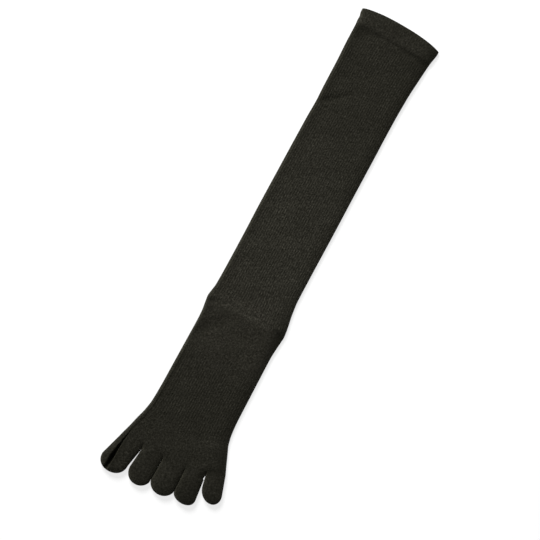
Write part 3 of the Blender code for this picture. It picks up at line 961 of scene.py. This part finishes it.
def evenly(low, high, step):
    """Places from low to high, about a step apart."""
    return np.linspace(low, high, int(round(abs(high - low) / step)) + 1)


# Stitches: two wales to a rib, their slant in courses for each wale, how flat they are along the
# knit, and how much of their height the courses take
WALES_IN_RIB = 2.0
STITCH_SLANT = 1.3
STITCH_POWER = 0.6
COURSE_SHARE = 0.65
STITCH_HEIGHT = 0.28 * MM
BUMP_STRENGTH = 0.8

# Unevenness of the yarn. Streaks lie along the knit, stretched across and along it, and the other
# kinds lie in the model's space.
Noise = namedtuple("Noise", "dimensions scale detail roughness distortion")
NOISES = {
    "fibre": Noise("3D", 2600, 3, 0.5, 0.0),
    "fluff": Noise("3D", 700, 2, 0.65, 0.0),
    "patches": Noise("3D", 190, 2, 0.5, 0.6),
    "cloud": Noise("3D", 55, 3, 0.5, 0.0),
}
STREAKS = Noise("2D", 1, 1, 0.5, 0.0)
STREAK_STRETCH = (1.9, 0.42)

# Painted shade in the valleys between ribs, broken into stretches by this gain and base from the
# patches
VALLEY_BREAKS = (1.6, 0.1)

# What the yarn's colour is multiplied by: each source times its gain, plus its base, and never
# less than its least
FACTORS = table(
    "Factor", "source gain base least",
    ("fluff", 4.0, -1.0, 0.2),
    ("streaks", 2.2, -0.1, 0.25),
    ("patches", 0.40, 0.80, 0.0),
    ("cloud", 0.50, 0.75, 0.0),
    ("stitch", 0.30, 0.80, 0.0),
    # painted shade in the rib valleys
    ("valley", -0.45, 1.0, 0.0),
    ("fibre", 0.5, 0.75, 0.0),
)
DARKEST = 0.02

# What raises the knit's surface, in stitch heights
RELIEF = {"stitch": 1.0, "fibre": 0.35, "fluff": 2.4, "patches": 1.4, "streaks": 3.0}

YARN_COLOUR = (0.0138, 0.0131, 0.0105, 1)
ROUGHNESS = 0.90
ROUGHNESS_SPREAD = 0.12
YARN = {
    "Specular IOR Level": 0.12,
    "Specular Tint": (1.0, 0.95, 0.66, 1),
    "Sheen Weight": 0.10,
    "Sheen Roughness": 0.55,
    "Sheen Tint": (0.55, 0.53, 0.39, 1),
}


def node(tree, kind, **settings):
    """A new node with the given properties."""
    made = tree.nodes.new(kind)
    for key, value in settings.items():
        setattr(made, key, value)
    return made


def set_inputs(made, values):
    """Gives a node's named inputs their values."""
    for name, value in values.items():
        made.inputs[name].default_value = value


def maths(tree, operation, *inputs):
    """A Math node fed by sockets or numbers."""
    made = node(tree, "ShaderNodeMath", operation=operation)
    for i, value in enumerate(inputs):
        if isinstance(value, (int, float)):
            made.inputs[i].default_value = value
        else:
            tree.links.new(value, made.inputs[i])
    return made.outputs[0]


def wave_of(tree, value, turns=1.0, offset=0.0):
    """A wave between 0 and 1, with so many turns for each whole step of the value."""
    angle = maths(tree, "MULTIPLY_ADD", value, 2 * math.pi * turns, offset)
    return maths(tree, "MULTIPLY_ADD", maths(tree, "COSINE", angle), 0.5, 0.5)


def noise(tree, kind, place):
    """A noise texture's value at each place."""
    made = node(tree, "ShaderNodeTexNoise", noise_dimensions=kind.dimensions)
    for setting in ("scale", "detail", "roughness", "distortion"):
        made.inputs[setting.capitalize()].default_value = getattr(kind, setting)
    tree.links.new(place, made.inputs["Vector"])
    return made.outputs["Fac"]


def stitches(tree, across, along):
    """The slanted stitches' height, from 0 to 1, in two strands on every wale."""
    wale = maths(tree, "MULTIPLY_ADD", across, WALES_IN_RIB, 0.5)
    beside = maths(tree, "ABSOLUTE", maths(tree, "SUBTRACT", maths(tree, "FRACT", wale), 0.5))
    strand = wave_of(tree, beside, 2.0, math.pi)
    slanted = maths(tree, "MULTIPLY_ADD", beside, STITCH_SLANT, along)
    course = maths(tree, "POWER", wave_of(tree, slanted), STITCH_POWER)
    course = maths(tree, "MULTIPLY_ADD", course, COURSE_SHARE, 1 - COURSE_SHARE)
    return maths(tree, "MULTIPLY", strand, course)


def yarn_sources(tree):
    """Everything that the yarn's colour, with its painted light and shade, and its relief are made
    from, by name.
    """
    link = tree.links.new
    parts = node(tree, "ShaderNodeSeparateXYZ")
    link(node(tree, "ShaderNodeUVMap", uv_map="Knit").outputs[0], parts.inputs[0])
    across, along = parts.outputs[0], parts.outputs[1]
    space = node(tree, "ShaderNodeTexCoord").outputs["Object"]
    sources = {name: noise(tree, kind, space) for name, kind in NOISES.items()}
    stretched = node(tree, "ShaderNodeCombineXYZ")
    for k, value in enumerate((across, along)):
        link(maths(tree, "MULTIPLY", value, STREAK_STRETCH[k]), stretched.inputs[k])
    sources["streaks"] = noise(tree, STREAKS, stretched.outputs[0])
    sources["stitch"] = stitches(tree, across, along)
    # The ribs' strength and the painted light and shade that each point carries
    for name in ("ribs", "tone"):
        sources[name] = node(tree, "ShaderNodeAttribute", attribute_name=name).outputs["Fac"]
    # Painted shade in the rib valleys, where the ribs are strong
    sunk = maths(tree, "SUBTRACT", 1.0, wave_of(tree, across))
    sunk = maths(tree, "MULTIPLY", sunk, sources["ribs"])
    broken = maths(tree, "MULTIPLY_ADD", sources["patches"], *VALLEY_BREAKS)
    sources["valley"] = maths(tree, "MULTIPLY", sunk, broken)
    return sources


def knit_material(name):
    """Matt yarn: slanted stitches on every wale, ribs with painted shade in their valleys, loose
    fibres, slow random changes of colour, and the painted light and shade that each point carries."""
    material = bpy.data.materials.new(name)
    material.use_nodes = True
    tree = material.node_tree
    link = tree.links.new
    shader = tree.nodes["Principled BSDF"]
    sources = yarn_sources(tree)
    # The colour starts from the painted light and shade that each point carries
    value = sources["tone"]
    for factor in FACTORS:
        part = maths(tree, "MULTIPLY_ADD", sources[factor.source], factor.gain, factor.base)
        value = maths(tree, "MULTIPLY", value, maths(tree, "MAXIMUM", part, factor.least))
    value = maths(tree, "MAXIMUM", value, DARKEST)
    grey = node(tree, "ShaderNodeCombineColor")
    for socket in grey.inputs:
        link(value, socket)
    mix = node(tree, "ShaderNodeMix", data_type="RGBA", blend_type="MULTIPLY")
    mix.inputs[0].default_value = 1.0
    mix.inputs["A"].default_value = YARN_COLOUR
    link(grey.outputs[0], mix.inputs["B"])
    link(mix.outputs["Result"], shader.inputs["Base Color"])

    smoothest = ROUGHNESS - ROUGHNESS_SPREAD / 2
    rough = maths(tree, "MULTIPLY_ADD", sources["fluff"], ROUGHNESS_SPREAD, smoothest)
    link(rough, shader.inputs["Roughness"])
    height = 0.0
    for source, weight in RELIEF.items():
        height = maths(tree, "MULTIPLY_ADD", sources[source], weight, height)
    bump = node(tree, "ShaderNodeBump")
    set_inputs(bump, {"Strength": BUMP_STRENGTH, "Distance": STITCH_HEIGHT})
    link(height, bump.inputs["Height"])
    link(bump.outputs[0], shader.inputs["Normal"])
    set_inputs(shader, YARN)
    return material


def dress():
    """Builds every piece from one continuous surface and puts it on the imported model."""
    slots = ("ribbed_knit", "welt_knit", "plain_knit")
    knits = {slot: knit_material(slot.replace("_", " ")) for slot in slots}
    made = []
    for tube in TUBES:
        runs = [evenly(*run) for run in tube.runs]
        stations = np.concatenate([run[:-1] for run in runs[:-1]] + [runs[-1]])
        surface = shaped(tube_surface(stations))
        strength = column(LINES, "ribs", stations)
        build = cuff_piece if tube.name == "Cuff" else tube_piece
        piece = build(tube, surface, strength, knits[tube.slot])
        made.append((piece, tube.name.lower(), tube.slot))
    for k, pocket in enumerate(POCKETS):
        name = "_".join(word.capitalize() for word in pocket.name.split("_"))
        made.append((toe_piece(k, name, knits["plain_knit"]), pocket.name, "plain_knit"))
    for piece, cad_node, slot in made:
        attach(piece, "root")
        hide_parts(cad_node)


# The photograph's frame: its middle in the sock's own frame, its side, how far the leg leans, and
# the height at which the frame is as wide as that side
VIEW_S = -0.5 * MM
VIEW_T = 53.2 * MM
VIEW_SIDE = 540 * MM
VIEW_TURN = math.radians(28.52)
VIEW_LEVEL = 6 * MM
CAMERA_HEIGHT = 2.6
SENSOR = 36.0
CLIP_START = 0.05
CLIP_END = 50

# The floor, just below the sock, and its paper
FLOOR_REACH = 6.0
FLOOR_DROP = 0.05 * MM
PAPER = {
    "Base Color": (0.20, 0.20, 0.20, 1),
    "Roughness": 0.95,
    "Specular IOR Level": 0.1,
    "Emission Color": (1, 1, 1, 1),
    "Emission Strength": 0.76,
}

# Light from all round, and a soft lamp: its width, power in watts, distance, lean from the
# vertical, and direction from +X
SKY = {"Color": (1, 1, 1, 1), "Strength": 0.25}
KEY_SIZE = 1.1
KEY_POWER = 110
KEY_AWAY = 2.4
KEY_LEAN = math.radians(46)
KEY_ASIDE = math.radians(135)


def linked(made):
    """Puts a new object into the scene."""
    bpy.context.scene.collection.objects.link(made)
    return made


def add_camera():
    """The camera straight above, turned as the photograph is."""
    data = bpy.data.cameras.new("Camera")
    data.sensor_width = SENSOR
    data.lens = SENSOR * (CAMERA_HEIGHT - VIEW_LEVEL) / VIEW_SIDE
    data.clip_start, data.clip_end = CLIP_START, CLIP_END
    camera = linked(bpy.data.objects.new("Camera", data))
    camera.location = (VIEW_S + ORIGIN_X, VIEW_T + ORIGIN_Y, CAMERA_HEIGHT)
    camera.rotation_euler = (0, 0, VIEW_TURN)
    bpy.context.scene.camera = camera


def pale_paper():
    """Matt paper that gives off some light, so that it comes out white."""
    paper = bpy.data.materials.new("pale paper")
    paper.use_nodes = True
    set_inputs(paper.node_tree.nodes["Principled BSDF"], PAPER)
    return paper


def add_floor():
    """A wide flat floor under the sock."""
    mesh = bpy.data.meshes.new("Floor")
    square = ((-1, -1), (1, -1), (1, 1), (-1, 1))
    corners = [(x * FLOOR_REACH, y * FLOOR_REACH, 0) for x, y in square]
    mesh.from_pydata(corners, [], [(0, 1, 2, 3)])
    mesh.materials.append(pale_paper())
    floor = linked(bpy.data.objects.new("Floor", mesh))
    floor.location.z = -FLOOR_DROP


def add_light():
    """Even light from all round, and soft light from above the picture's top, a little left."""
    world = bpy.data.worlds.new("Studio")
    world.use_nodes = True
    set_inputs(world.node_tree.nodes["Background"], SKY)
    bpy.context.scene.world = world
    key = bpy.data.lights.new("Key", "AREA")
    key.shape = "DISK"
    key.size = KEY_SIZE
    key.energy = KEY_POWER
    lamp = linked(bpy.data.objects.new("Key", key))
    out, up = KEY_AWAY * math.sin(KEY_LEAN), KEY_AWAY * math.cos(KEY_LEAN)
    lamp.location = (out * math.cos(KEY_ASIDE), out * math.sin(KEY_ASIDE), up)
    lamp.rotation_euler = (0, KEY_LEAN, KEY_ASIDE)


dress()
add_camera()
add_floor()
add_light()
bpy.context.scene.view_settings.view_transform = "Standard"
bpy.context.view_layer.update()
